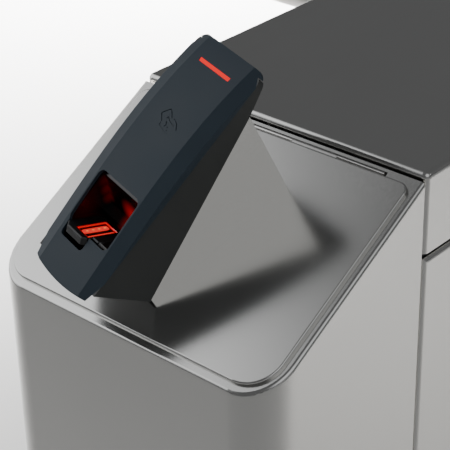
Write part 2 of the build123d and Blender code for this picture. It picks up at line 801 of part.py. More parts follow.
def cover_outline(inset):
    """The cover's outline seen square on: rounded top corners and a lower edge that bows outwards."""
    half = reader_width / 2 - inset
    low, high = cover_profile[0][0] + cover_bow + inset, cover_profile[-1][0] - inset
    arc = ThreePointArc((-half, low), (0, low - cover_bow), (half, low))
    face = make_face(arc + Polyline((half, low), (half, high), (-half, high), (-half, low)))
    corners = face.vertices().sort_by(Axis.Y)
    face = fillet(corners[-2:], cover_top_r - inset)
    return fillet(face.vertices().sort_by(Axis.Y)[:2], cover_foot_r - inset)


def outline_column(inset):
    """The cover's outline as a tall column through the whole reader, in the cover's frame."""
    return Pos(0, 0, -60) * extrude(cover_outline(inset), 90)


def crowned(width, depth):
    """The crowned front as a solid of one width, lowered by depth, with chamfered long edges."""
    solid = Pos(-width / 2, 0, 0) * extrude(crown(depth), width, dir=(1, 0, 0))
    for side in (0, -1):
        cheek = solid.faces().sort_by(Axis.X)[side]
        long_edge = cheek.edges().sort_by(Axis.Z)[-1]
        solid = chamfer(long_edge, *cover_chamfer, reference=cheek)
    return solid


def reader_cover():
    """The reader's crowned front: a thin shell with the finger slot and the light's slot."""
    half = reader_width / 2
    low, high = cover_profile[0][0] + reader_wall, cover_lip_y
    solid = crowned(reader_width, 0) - block(-half - 1, half + 1, -20, cover_lip_y, -20, 0)
    inner = crowned(reader_width - 2 * reader_wall, reader_wall)
    solid &= outline_column(0)
    solid -= inner & outline_column(reader_wall) & block(-half, half, low, high - reader_wall, -20, 20)
    light = Pos(0, status_light_y, 0) * Box(status_light_size[0] + 0.2, status_light_size[1] + 0.2, 30)
    return face_loc * (solid - finger_slot_cut() - light)


def finger_slot_cut():
    """The finger slot through the front, with a notch for the sensor head's nose."""
    y0, y1 = slot_span
    face = Pos(0, (y0 + y1) / 2) * RectangleRounded(slot_width, y1 - y0, slot_corner_r)
    x0, x1, low = head_notch
    face += Pos((x0 + x1) / 2, low + slot_corner_r) * RectangleRounded(x1 - x0, 2 * slot_corner_r + 6, 3)
    return Pos(0, 0, -1) * extrude(face, 20)


def window_loc():
    """The sensor window's near edge: local Y runs inwards along the window, local Z is its normal."""
    return Location((head_offset, 24.0, 6.2), (-56, 0, 0))


def head_outline():
    """The sensor head seen along the window's normal: its near right corner steps back under the front."""
    half = head_width / 2
    end = window_length + 5
    points = ((-half + 5, -3), (5.5, -3), (8.0, 0.2), (8.2, 4.6), (half - 3, 4.6), (half, 8), (half, end - 5))
    points += ((half - 5, end), (-half + 5, end), (-half, end - 5), (-half, 1))
    return make_face(Polyline(*points, close=True))


def sensor_head_space(grow):
    """The sensor head's room with a clearance, open above its window, in the cover's frame."""
    face = offset(head_outline(), grow)
    return window_loc() * Pos(0, 0, -head_thickness - grow) * extrude(face, head_thickness + grow + head_view)


def sensor_head():
    """The sensor block: a chamfered body that stands a little proud of the slot's lower edge."""
    body = Pos(0, 0, -head_thickness) * extrude(head_outline(), head_thickness)
    body = chamfer(body.faces().sort_by(Axis.Z)[-1].edges(), 0.8)
    pocket = window_place() * Pos(0, 0, -1) * Box(window_width + 0.2, window_length + 0.2, 3)
    return face_loc * window_loc() * (body - pocket)


def window_place():
    """The window's centre on the sensor head."""
    return Pos(0, window_length / 2 + 1.5, 0)


def sensor_window():
    """The glass that the finger lies on."""
    glass = Pos(0, 0, -0.4) * Box(window_width, window_length, 0.8)
    return face_loc * window_loc() * window_place() * glass


def sensor_light():
    """The lit strip under the glass."""
    strip = Pos(0, 0, -1.6) * Box(window_width - 1, window_length - 1, 1.4)
    return face_loc * window_loc() * window_place() * strip


def finger_well():
    """The dark V-shaped well behind the finger slot."""
    half = slot_width / 2
    y0, y1 = slot_span
    wall = 1.2
    outer = ((y0 - 1.0, 1.2), (y0 + 16.5, -20), (y0 + 25, -22.5), (y1 + 1.2, 4.4))
    inner = ((y0 + 0.2, 4.4), (y0 + 17.2, -18.8), (y0 + 24.4, -21.3), (y1 - 0.4, 7.4))
    well = side_prism(outer, -half - wall, half + wall)
    well -= side_prism(inner, -half, half)
    well -= sensor_head_space(fit)
    return face_loc * well


def status_light():
    """The light bar near the reader's top."""
    w, d = status_light_size
    return face_loc * Pos(0, status_light_y, 0) * (Pos(0, 0, 1.9) * Box(w, d, 4.6))


def reader_board():
    """The reader's circuit board, on ledges inside the rear housing."""
    half = reader_width / 2 - reader_base_inset - reader_wall - fit
    board = block(-half, half, 75, 155, -4.2, -2.6)
    return face_loc * (board + block(-12, 12, 90, 110, -6.4, -4.2))


def card_antenna():
    """A flat coil on the board, behind the card symbol."""
    ring = RectangleRounded(46, 60, 6) - RectangleRounded(38, 52, 4)
    return face_loc * Pos(0, 115, -2.6) * extrude(ring, 0.8)


def cable_grommet():
    """A rubber grommet in the lid's cable hole."""
    sleeve = rod(8.9, -lid_sheet, 0) + rod(11, 0, 1.6)
    sleeve -= rod(6, -6, 6)
    return cable_hole_loc() * sleeve


# ---- write the nodes ----
def main():
    """Builds every node and writes one STEP file for each."""
    os.makedirs("parts", exist_ok=True)
    save("base_plate", base_plate())
    save("frame_posts", frame_posts())
    save("frame_top_rails", frame_top_rails())
    save("frame_cross_bars", frame_cross_bars())
    save("panel_screws", panel_screws())
    shell = pylon_shell()
    save("front_pylon_shell", shell)
    save("rear_pylon_shell", rear(shell))
    save("front_lid_panel", front_lid_panel())
    save("rear_lid_panel", rear(slope_loc * lid_panel()))
    save("lid_seals", both_ends(lid_seal()))
    save("hinge_bases", both_ends(hinge_base()))
    save("hinge_pins", both_ends(hinge_pin()))
    leaf = hinge_leaf()
    save("front_hinge_leaf", leaf)
    save("rear_hinge_leaf", rear(leaf))
    save("front_lid_keeper", lid_keeper())
    save("rear_lid_keeper", rear(lid_keeper()))
    barrel = lock_barrel()
    covers = [cover_lock(barrel, -1), cover_lock(barrel, 1)]
    save("lock_barrels", both_ends(lid_lock(barrel)) + covers)
    cam = lock_cam()
    save("front_lid_lock_cam", lid_lock(cam))
    save("rear_lid_lock_cam", rear(lid_lock(cam)))
    save("front_cover_lock_cam", cover_lock(cam, -1))
    save("rear_cover_lock_cam", cover_lock(cam, 1))
    save("top_cover", top_cover())
    save("cover_keepers", cover_keepers())
    save("right_side_panel", side_panel())
    save("left_side_panel", left_side_panel())
    save("mechanism_bracket", mechanism_bracket())
    save("mechanism_housing", mechanism_housing())
    save("shaft_bearings", shaft_bearings())
    save("tripod_shaft", tripod_shaft())
    save("tripod_hub", tripod_hub())
    save("hub_cap", hub_cap())
    save("arm_screws", arm_screws())
    for index in range(arm_count):
        save(f"tripod_arm_{index + 1}", arm(index))
    save("arm_tip_caps", arm_tip_caps())
    save("index_disc", index_disc())
    for side, name in ((1, "rear_side"), (-1, "front_side")):
        save(f"{name}_pawl", pawl(side))
        save(f"{name}_plunger", plunger(side))
    save("solenoids", solenoids())
    save("control_tray", control_tray())
    save("control_board", control_board())
    save("power_supply", power_supply())
    save("reader_bracket", reader_bracket())
    save("reader_screws", reader_screws())
    save("reader_base", reader_base())
    save("reader_cover", reader_cover())
    save("finger_well", finger_well())
    save("sensor_head", sensor_head())
    save("sensor_window", sensor_window())
    save("sensor_light", sensor_light())
    save("status_light", status_light())
    save("reader_board", reader_board())
    save("card_antenna", card_antenna())
    save("cable_grommet", cable_grommet())


main()
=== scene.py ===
"""Looks of a waist-high tripod access gate with a fingerprint and card reader on its sloping lid.

Units are metres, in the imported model's own frame: +Z is up, +Y runs along the cabinet away from the reader, and the
lane is on the -X side. Sizes given in millimetres carry the suffix _mm or are multiplied by MM where they are used.
"""

import logging
from dataclasses import dataclass
from enum import Enum
from math import cos, pi, radians, sin, tan
from typing import Optional, Sequence

import bmesh
import bpy
import numpy as np
from mathutils import Matrix, Vector


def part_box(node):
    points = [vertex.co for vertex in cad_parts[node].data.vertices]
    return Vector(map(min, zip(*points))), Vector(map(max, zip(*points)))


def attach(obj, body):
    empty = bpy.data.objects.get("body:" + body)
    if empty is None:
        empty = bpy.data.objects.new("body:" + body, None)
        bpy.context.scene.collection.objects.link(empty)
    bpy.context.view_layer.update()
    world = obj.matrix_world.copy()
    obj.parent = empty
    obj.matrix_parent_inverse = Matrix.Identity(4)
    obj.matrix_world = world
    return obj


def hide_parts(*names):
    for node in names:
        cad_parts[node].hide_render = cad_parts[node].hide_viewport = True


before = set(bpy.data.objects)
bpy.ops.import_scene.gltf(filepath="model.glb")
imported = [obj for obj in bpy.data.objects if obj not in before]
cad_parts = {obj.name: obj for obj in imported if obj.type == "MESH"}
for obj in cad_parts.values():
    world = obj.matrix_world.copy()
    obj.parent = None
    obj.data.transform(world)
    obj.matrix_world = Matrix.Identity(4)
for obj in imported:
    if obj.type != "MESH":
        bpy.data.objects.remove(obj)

MM = 0.001
NOISE_LOW, NOISE_HIGH = 0.3, 0.7  # the span that most of a noise texture's values lie in
log = logging.getLogger("access_gate")
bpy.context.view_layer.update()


# ---------------------------------------------------------------- colour and node helpers


def linear(hex_colour: str) -> tuple[float, float, float, float]:
    """Turns an sRGB hex colour into linear light.

    Args:
        hex_colour: six hex digits with a leading #.

    Returns:
        Red, green, blue and an alpha of 1.
    """
    parts = np.array([int(hex_colour[i : i + 2], 16) for i in (1, 3, 5)]) / 255
    light = np.where(parts <= 0.04045, parts / 12.92, ((parts + 0.055) / 1.055) ** 2.4)
    return (*[float(v) for v in light], 1.0)


def per_metre(spacing_mm: float) -> float:
    """The scale of a pattern on Object coordinates whose features are spacing_mm apart."""
    return 1 / (spacing_mm * MM)


def add(
    tree: bpy.types.NodeTree,
    kind: str,
    links: Optional[dict] = None,
    values: Optional[dict] = None,
    stops: Sequence[tuple] = (),
    **settings: object,
) -> bpy.types.Node:
    """Adds one node to a tree.

    Args:
        tree: the node tree.
        kind: the node's type name.
        links: input name or number, to the output socket that feeds it.
        values: input name or number, to its constant value.
        stops: (place, linear colour) pairs in order, for a node that has a colour ramp.
        settings: attributes of the node itself.

    Returns:
        The new node.
    """
    node = tree.nodes.new(kind)
    for name, value in settings.items():
        setattr(node, name, value)
    for name, value in (values or {}).items():
        node.inputs[name].default_value = value
    for name, socket in (links or {}).items():
        tree.links.new(socket, node.inputs[name])
    for number, (place, colour) in enumerate(stops):
        if number == len(node.color_ramp.elements):
            node.color_ramp.elements.new(1.0)
        node.color_ramp.elements[number].position = place
        node.color_ramp.elements[number].color = colour
    return node


# ---------------------------------------------------------------- finishes


class Grain(Enum):
    """The direction that a sheet was brushed in."""

    ALONG_X = (0, 1, 1)
    ALONG_Y = (1, 0, 1)
    ALONG_Z = (1, 1, 0)


@dataclass(frozen=True)
class Finish:
    """What a surface is made of and how it was made. Each kind of finish adds its own nodes to the shader."""

    name: str
    colour: str
    roughness: float = 0.5
    metallic: float = 0.0
    ior: float = 1.5

    def material(self) -> bpy.types.Material:
        """Builds the finish's material, or returns the one that was built before."""
        made = bpy.data.materials.get(self.name)
        if made is not None:
            return made
        made = bpy.data.materials.new(self.name)
        made.use_nodes = True
        tree = made.node_tree
        tree.nodes.clear()
        shader = add(tree, "ShaderNodeBsdfPrincipled")
        add(tree, "ShaderNodeOutputMaterial", {"Surface": shader.outputs[0]})
        shader.inputs["Base Color"].default_value = linear(self.colour)
        shader.inputs["Roughness"].default_value = self.roughness
        shader.inputs["Metallic"].default_value = self.metallic
        if not self.metallic:
            shader.inputs["IOR"].default_value = self.ior
        self.dress(tree, shader)
        return made

    def dress(self, tree: bpy.types.NodeTree, shader: bpy.types.Node) -> None:
        """Adds the pattern of this kind of finish."""


@dataclass(frozen=True)
class BrushedSteel(Finish):
    """Stainless sheet (304) with a satin belt finish.

    The eye sees a soft mirror that blurs along the scratches and bends a little where the sheet rolls. Belt scratches
    lie under 0.1 mm apart, which is too fine to show, so they are drawn 0.7 mm apart.
    """

    grain: Grain = Grain.ALONG_Y
    scratch_mm: float = 0.7
    scratch_length_mm: float = 60.0
    roll_mm: float = 260.0
    roll_height: float = 0.004
    tone: float = 0.03
    smear_mm: float = 140.0
    smear_share: float = 0.35
    gloss_spread: float = 0.045
    scratch_depth_mm: float = 0.03
    scratch_strength: float = 0.1

    def dress(self, tree: bpy.types.NodeTree, shader: bpy.types.Node) -> None:
        """Stretches one noise along the grain for scratches, over a wide one for the roll of the sheet."""
        place = add(tree, "ShaderNodeTexCoord")
        across, along = per_metre(self.scratch_mm), per_metre(self.scratch_length_mm)
        scale = tuple(across if flag else along for flag in self.grain.value)
        lanes = add(tree, "ShaderNodeMapping", {"Vector": place.outputs["Object"]}, {"Scale": scale})
        scratches = add(
            tree, "ShaderNodeTexNoise", {"Vector": lanes.outputs[0]}, {"Scale": 1.0, "Detail": 3.0, "Roughness": 0.6}
        )
        smears = add(
            tree, "ShaderNodeTexNoise", {"Vector": place.outputs["Object"]}, {"Scale": per_metre(self.smear_mm), "Detail": 2.0}
        )
        blend = add(
            tree,
            "ShaderNodeMix",
            {"A": scratches.outputs["Fac"], "B": smears.outputs["Fac"]},
            {"Factor": self.smear_share},
            data_type="FLOAT",
        )
        gloss = add(
            tree,
            "ShaderNodeMapRange",
            {"Value": blend.outputs[0]},
            {
                "From Min": NOISE_LOW,
                "From Max": NOISE_HIGH,
                "To Min": self.roughness - self.gloss_spread,
                "To Max": self.roughness + self.gloss_spread,
            },
        )
        tree.links.new(gloss.outputs[0], shader.inputs["Roughness"])
        base = np.array(linear(self.colour)[:3])
        dark, pale = base * (1 - self.tone), np.minimum(base * (1 + self.tone), 1)
        stops = [(NOISE_LOW, (*dark, 1)), (NOISE_HIGH, (*pale, 1))]
        tones = add(tree, "ShaderNodeValToRGB", {"Fac": blend.outputs[0]}, stops=stops)
        tree.links.new(tones.outputs[0], shader.inputs["Base Color"])
        roll = add(
            tree,
            "ShaderNodeTexNoise",
            {"Vector": place.outputs["Object"]},
            {"Scale": per_metre(self.roll_mm), "Detail": 0.0},
        )
        wide = add(
            tree, "ShaderNodeBump", {"Height": roll.outputs["Fac"]}, {"Strength": 1.0, "Distance": self.roll_height}
        )
        fine = add(
            tree,
            "ShaderNodeBump",
            {"Height": scratches.outputs["Fac"], "Normal": wide.outputs[0]},
            {"Strength": self.scratch_strength, "Distance": self.scratch_depth_mm * MM},
        )
        tree.links.new(fine.outputs[0], shader.inputs["Normal"])


@dataclass(frozen=True)
class MouldedPlastic(Finish):
    """Injection-moulded ABS or polycarbonate with a spark-eroded skin.

    The eye sees a dull, slightly uneven sheen without scratches. Such pits are about 0.1 mm apart, which is too fine
    to show, so they are drawn several times as coarse.
    """

    pit_mm: float = 0.55
    pit_depth_mm: float = 0.02
    mottle: float = 0.08
    patch_mm: float = 45.0
    gloss_spread: float = 0.04
    pit_strength: float = 0.5

    def dress(self, tree: bpy.types.NodeTree, shader: bpy.types.Node) -> None:
        """Uses one fine noise for the pits, and one wide noise for the uneven gloss and tone."""
        place = add(tree, "ShaderNodeTexCoord")
        pits = add(
            tree,
            "ShaderNodeTexNoise",
            {"Vector": place.outputs["Object"]},
            {"Scale": per_metre(self.pit_mm), "Detail": 2.0},
        )
        patches = add(
            tree, "ShaderNodeTexNoise", {"Vector": place.outputs["Object"]}, {"Scale": per_metre(self.patch_mm), "Detail": 3.0}
        )
        base = np.array(linear(self.colour)[:3])
        stops = [(NOISE_LOW, (*(base * (1 - self.mottle)), 1)), (NOISE_HIGH, (*(base * (1 + self.mottle)), 1))]
        tones = add(tree, "ShaderNodeValToRGB", {"Fac": patches.outputs["Fac"]}, stops=stops)
        tree.links.new(tones.outputs[0], shader.inputs["Base Color"])
        gloss = add(
            tree,
            "ShaderNodeMapRange",
            {"Value": patches.outputs["Fac"]},
            {
                "From Min": NOISE_LOW,
                "From Max": NOISE_HIGH,
                "To Min": self.roughness - self.gloss_spread,
                "To Max": self.roughness + self.gloss_spread,
            },
        )
        tree.links.new(gloss.outputs[0], shader.inputs["Roughness"])
        skin = add(
            tree,
            "ShaderNodeBump",
            {"Height": pits.outputs["Fac"]},
            {"Strength": self.pit_strength, "Distance": self.pit_depth_mm * MM},
        )
        tree.links.new(skin.outputs[0], shader.inputs["Normal"])


@dataclass(frozen=True)
class PlainMetal(Finish):
    """A machined, cast, plated or zinc-coated metal part.

    The eye sees grains of one size that vary in tone and gloss: spangle on zinc, pits on a casting, tool marks on a
    turned part. The last two are drawn coarser than they are.
    """

    grain_mm: float = 3.0
    spread: float = 0.15
    pit_depth_mm: float = 0.03
    darkest_grain: float = 0.2
    palest_grain: float = 0.8
    gloss_spread: float = 0.06
    pit_strength: float = 0.4

    def dress(self, tree: bpy.types.NodeTree, shader: bpy.types.Node) -> None:
        """Cells stand for spangle, tool marks or blasting pits, depending on their size."""
        place = add(tree, "ShaderNodeTexCoord")
        cells = add(
            tree, "ShaderNodeTexVoronoi", {"Vector": place.outputs["Object"]}, {"Scale": per_metre(self.grain_mm)}
        )
        grey = add(tree, "ShaderNodeRGBToBW", {"Color": cells.outputs["Color"]})
        base = np.array(linear(self.colour)[:3])
        dark, pale = base * (1 - self.spread), np.minimum(base * (1 + self.spread), 1)
        stops = [(self.darkest_grain, (*dark, 1)), (self.palest_grain, (*pale, 1))]
        tones = add(tree, "ShaderNodeValToRGB", {"Fac": grey.outputs[0]}, stops=stops)
        tree.links.new(tones.outputs[0], shader.inputs["Base Color"])
        gloss = add(
            tree,
            "ShaderNodeMapRange",
            {"Value": grey.outputs[0]},
            {"To Min": self.roughness - self.gloss_spread, "To Max": self.roughness + self.gloss_spread},
        )
        tree.links.new(gloss.outputs[0], shader.inputs["Roughness"])
        skin = add(
            tree,
            "ShaderNodeBump",
            {"Height": cells.outputs["Distance"]},
            {"Strength": self.pit_strength, "Distance": self.pit_depth_mm * MM},
        )
        tree.links.new(skin.outputs[0], shader.inputs["Normal"])


@dataclass(frozen=True)
class Lit(Finish):
    """A moulded diffuser with a red light-emitting diode behind it."""

    glow: str = "#ff1c14"
    strength: float = 1.1

    def dress(self, tree: bpy.types.NodeTree, shader: bpy.types.Node) -> None:
        """The light is even over the piece."""
        shader.inputs["Emission Color"].default_value = linear(self.glow)
        shader.inputs["Emission Strength"].default_value = self.strength


@dataclass(frozen=True)
class ClearGlass(Finish):
    """Polished optical glass over the fingerprint sensor, tinted red."""

    def dress(self, tree: bpy.types.NodeTree, shader: bpy.types.Node) -> None:
        """Lets light straight through, as a thin plate does."""
        shader.inputs["Transmission Weight"].default_value = 1.0


FINISHES: dict[str, Finish] = {
    "stainless_shell": BrushedSteel("satin_stainless_sheet", "#c3c2bf", 0.2, 1.0),
    "stainless_tube": BrushedSteel(
        "polished_stainless_tube", "#d0cecb", 0.2, 1.0, grain=Grain.ALONG_X, roll_height=0.0
    ),
    "galvanised_frame": PlainMetal("galvanised_steel", "#a9adae", 0.42, 1.0, grain_mm=9.0),
    "mechanism_steel": PlainMetal("machined_steel", "#b3b2b0", 0.3, 1.0, grain_mm=0.8, spread=0.06),
    "cast_aluminium": PlainMetal("blasted_cast_aluminium", "#b9babb", 0.45, 1.0, grain_mm=0.7, spread=0.1),
    "zinc_lock": PlainMetal("plated_zinc", "#d8d6d2", 0.16, 1.0, grain_mm=2.0, spread=0.03, pit_depth_mm=0.004),
    "black_plastic": MouldedPlastic("black_abs", "#141516", 0.38),
    "slate_plastic": MouldedPlastic("slate_polycarbonate", "#2b3842", 0.55, ior=1.4),
    "charcoal_plastic": MouldedPlastic("charcoal_abs", "#232624", 0.42),
    "well_plastic": MouldedPlastic("gloss_black_abs", "#1a0c0c", 0.2, pit_depth_mm=0.004),
    "seal_rubber": MouldedPlastic("closed_cell_epdm", "#191919", 0.85, pit_mm=0.9, pit_depth_mm=0.1),
    "sensor_glass": ClearGlass("clear_sensor_glass", "#fff4f2", 0.02),
    "lit_red": Lit("red_light_guide", "#5a0604", 0.6, ior=1.3),
    "circuit_board": MouldedPlastic("solder_mask", "#1c5a37", 0.35),
    "copper_coil": PlainMetal("bare_copper", "#c98258", 0.3, 1.0, grain_mm=0.6, spread=0.05),
    "supply_case": PlainMetal("mill_finish_aluminium", "#c2c3c4", 0.36, 1.0, grain_mm=5.0, spread=0.05),
}


@dataclass(frozen=True)
class PaintedRedLightSpot:
    """Painted red light on the well, standing in for the sensor's light: its middle in metres, its reach, and its
    brightness there.
    """

    middle: tuple[float, float, float]
    radius_mm: float
    light: float


@dataclass(frozen=True)
class WellWithPaintedRedLight(Finish):
    """Gloss black ABS with the sensor's red light painted on as emission, brightest where the wall faces the sensor.
    """

    glow: str = "#ff0a08"
    painted_light_spots: tuple[PaintedRedLightSpot, ...] = ()

    def dress(self, tree: bpy.types.NodeTree, shader: bpy.types.Node) -> None:
        """Adds each spot's painted red light as emission, which fades smoothly with the distance from its middle."""
        place = add(tree, "ShaderNodeTexCoord")
        total = None
        for red in self.painted_light_spots:
            away = add(
                tree,
                "ShaderNodeVectorMath",
                {0: place.outputs["Object"]},
                {1: red.middle},
                operation="DISTANCE",
            )
            spot = add(
                tree,
                "ShaderNodeMapRange",
                {"Value": away.outputs["Value"]},
                {"From Max": red.radius_mm * MM, "To Min": red.light, "To Max": 0.0},
                interpolation_type="SMOOTHSTEP",
            )
            if total is None:
                total = spot
            else:
                total = add(tree, "ShaderNodeMath", {0: total.outputs[0], 1: spot.outputs[0]}, operation="MAXIMUM")
        shader.inputs["Emission Color"].default_value = linear(self.glow)
        tree.links.new(total.outputs[0], shader.inputs["Emission Strength"])


PRISM = Finish("dark_prism_glass", "#1a0204", 0.12)
LAMP_BAR = Lit("diffuse_red_acrylic", "#5a0604", 0.35, glow="#ff3a30", strength=1.1)
LAMPS = Lit("amber_red_diodes", "#6a2008", 0.3, glow="#ff8a3c", strength=1.5)
EDGE_LIGHT = Lit("red_edge_light", "#5a0604", 0.35, glow="#ff1418", strength=0.9)
# Painted red light: emission spots on the well's walls stand in for the sensor's light falling there.
WELL_WITH_PAINTED_RED_LIGHT = WellWithPaintedRedLight(
    "gloss_black_abs_with_painted_red_light",
    "#0c0506",
    0.25,
    painted_light_spots=(
        PaintedRedLightSpot((-0.0100, -0.6880, 0.9850), 17.0, 0.36),
        PaintedRedLightSpot((-0.0385, -0.6870, 1.0040), 7.0, 0.03),
        PaintedRedLightSpot((-0.0391, -0.6850, 0.9970), 7.0, 0.05),
        PaintedRedLightSpot((-0.0396, -0.6830, 0.9900), 7.0, 0.045),
        PaintedRedLightSpot((-0.0434, -0.7019, 0.9898), 18.0, 0.012),
    ),
)


# ---------------------------------------------------------------- surfaces


def grid_faces(rows: int, columns: int, close_rows: bool = False, close_columns: bool = False) -> np.ndarray:
    """The quads of a grid of points that are numbered row by row.

    Args:
        rows: how many rows of points.
        columns: how many points in a row.
        close_rows: joins the last row to the first.
        close_columns: joins each row's last point to its first.

    Returns:
        An (n, 4) array of point numbers.
    """
    r = np.arange(rows if close_rows else rows - 1)[:, None]
    c = np.arange(columns if close_columns else columns - 1)[None, :]
    above, beside = (r + 1) % rows, (c + 1) % columns
    quads = np.stack([r * columns + c, r * columns + beside, above * columns + beside, above * columns + c], axis=-1)
    return quads.reshape(-1, 4)


TILTS, TURNS = 15, 40  # rows and columns of a pillow's points, besides its two poles


def pillow(middle: Sequence[float], half: Sequence[float], squareness: float) -> tuple[np.ndarray, np.ndarray]:
    """A superellipsoid: a box with rounded edges at a low squareness, an ellipsoid at 1.

    Each point is the sine or cosine of two angles, kept in sign and raised to the squareness, times a half size:
    x is cos(t) times cos(p), y is cos(t) times sin(p), and z is sin(t).

    Args:
        middle: its centre.
        half: its three half sizes.
        squareness: the power.

    Returns:
        The points, and the faces by point number.
    """
    tilt = np.linspace(-pi / 2, pi / 2, TILTS + 2)[1:-1, None]
    around = np.linspace(0, 2 * pi, TURNS, endpoint=False)[None, :]

    def power(wave: np.ndarray) -> np.ndarray:
        """Raises a wave to the squareness and keeps its sign."""
        return np.sign(wave) * np.abs(wave) ** squareness

    ball = [power(np.cos(tilt)) * power(np.cos(around)), power(np.cos(tilt)) * power(np.sin(around))]
    ball.append(power(np.sin(tilt)) * np.ones_like(around))
    sides = np.stack(ball, axis=-1).reshape(-1, 3)
    points = np.vstack([sides, [(0, 0, -1), (0, 0, 1)]]) * np.array(half) + np.array(middle)
    faces = grid_faces(TILTS, TURNS, close_columns=True).tolist()
    bottom_pole, top_pole, last_row = TILTS * TURNS, TILTS * TURNS + 1, (TILTS - 1) * TURNS
    ring = np.arange(TURNS)
    after = (ring + 1) % TURNS
    low = np.stack([np.full(TURNS, bottom_pole), after, ring], axis=-1)
    high = np.stack([np.full(TURNS, top_pole), last_row + ring, last_row + after], axis=-1)
    return points, faces + low.tolist() + high.tolist()


def carry(path: np.ndarray, profile: np.ndarray, closed: bool) -> tuple[np.ndarray, list]:
    """Carries a profile along a flat path.

    A profile point (p, q) lies at the path's point plus p times the path's sideways direction, at height q.

    Args:
        path: (n, 2) points of the path.
        profile: (k, 2) points of the profile, anticlockwise as seen along the path.
        closed: joins the path's end to its start; an open path gets a cap at each end.

    Returns:
        The points and the faces.
    """
    if closed:
        ahead = np.roll(path, -1, axis=0) - np.roll(path, 1, axis=0)
    else:
        ahead = np.gradient(path, axis=0)
    ahead = ahead / np.linalg.norm(ahead, axis=1, keepdims=True)
    aside = np.stack([ahead[:, 1], -ahead[:, 0]], axis=1)
    flat = path[:, None, :] + aside[:, None, :] * profile[None, :, :1]
    height = np.broadcast_to(profile[None, :, 1:], flat.shape[:2] + (1,))
    points = np.concatenate([flat, height], axis=2).reshape(-1, 3)
    rows, columns = len(path), len(profile)
    faces = grid_faces(rows, columns, close_rows=closed, close_columns=True).tolist()
    if not closed:
        faces += [list(range(columns))[::-1], list(range((rows - 1) * columns, rows * columns))]
    return points, faces


def smooth_path(corners: Sequence[Sequence[float]], count: int) -> np.ndarray:
    """Evenly spaced points along a line through the corners, with each corner eased by a running mean of three.

    Args:
        corners: (x, y) of each corner.
        count: how many points.

    Returns:
        A (count, 2) array.
    """
    corners = np.array(corners, float)
    reach = np.concatenate([[0], np.cumsum(np.linalg.norm(np.diff(corners, axis=0), axis=1))])
    at = np.linspace(0, reach[-1], count)
    line = np.stack([np.interp(at, reach, corners[:, axis]) for axis in (0, 1)], axis=1)
    eased = line.copy()
    eased[1:-1] = (line[:-2] + line[1:-1] + line[2:]) / 3
    return eased


def piece(name: str, points: np.ndarray, faces: Sequence, place: Matrix, finish: Finish) -> bpy.types.Object:
    """Makes one object with its place in its mesh and its faces turned outwards.

    Args:
        name: the object's name.
        points: points in millimetres, in the piece's own frame.
        faces: the faces by point number.
        place: where that frame stands, in metres.
        finish: what it is made of.

    Returns:
        The new object.
    """
    stand = np.array(place)
    world = points * MM @ stand[:3, :3].T + stand[:3, 3]
    mesh = bpy.data.meshes.new(name)
    mesh.from_pydata(world, [], faces)
    work = bmesh.new()
    work.from_mesh(mesh)
    bmesh.ops.recalc_face_normals(work, faces=work.faces)
    work.to_mesh(mesh)
    work.free()
    mesh.shade_smooth()
    mesh.materials.append(finish.material())
    made = bpy.data.objects.new(name, mesh)
    bpy.context.scene.collection.objects.link(made)
    return made


def shift(x: float, y: float, z: float) -> Matrix:
    """A move in millimetres."""
    return Matrix.Translation(Vector((x, y, z)) * MM)


def turn(angle: float, axis: str) -> Matrix:
    """A turn about an axis in degrees."""
    return Matrix.Rotation(radians(angle), 4, axis)


# ---------------------------------------------------------------- reader


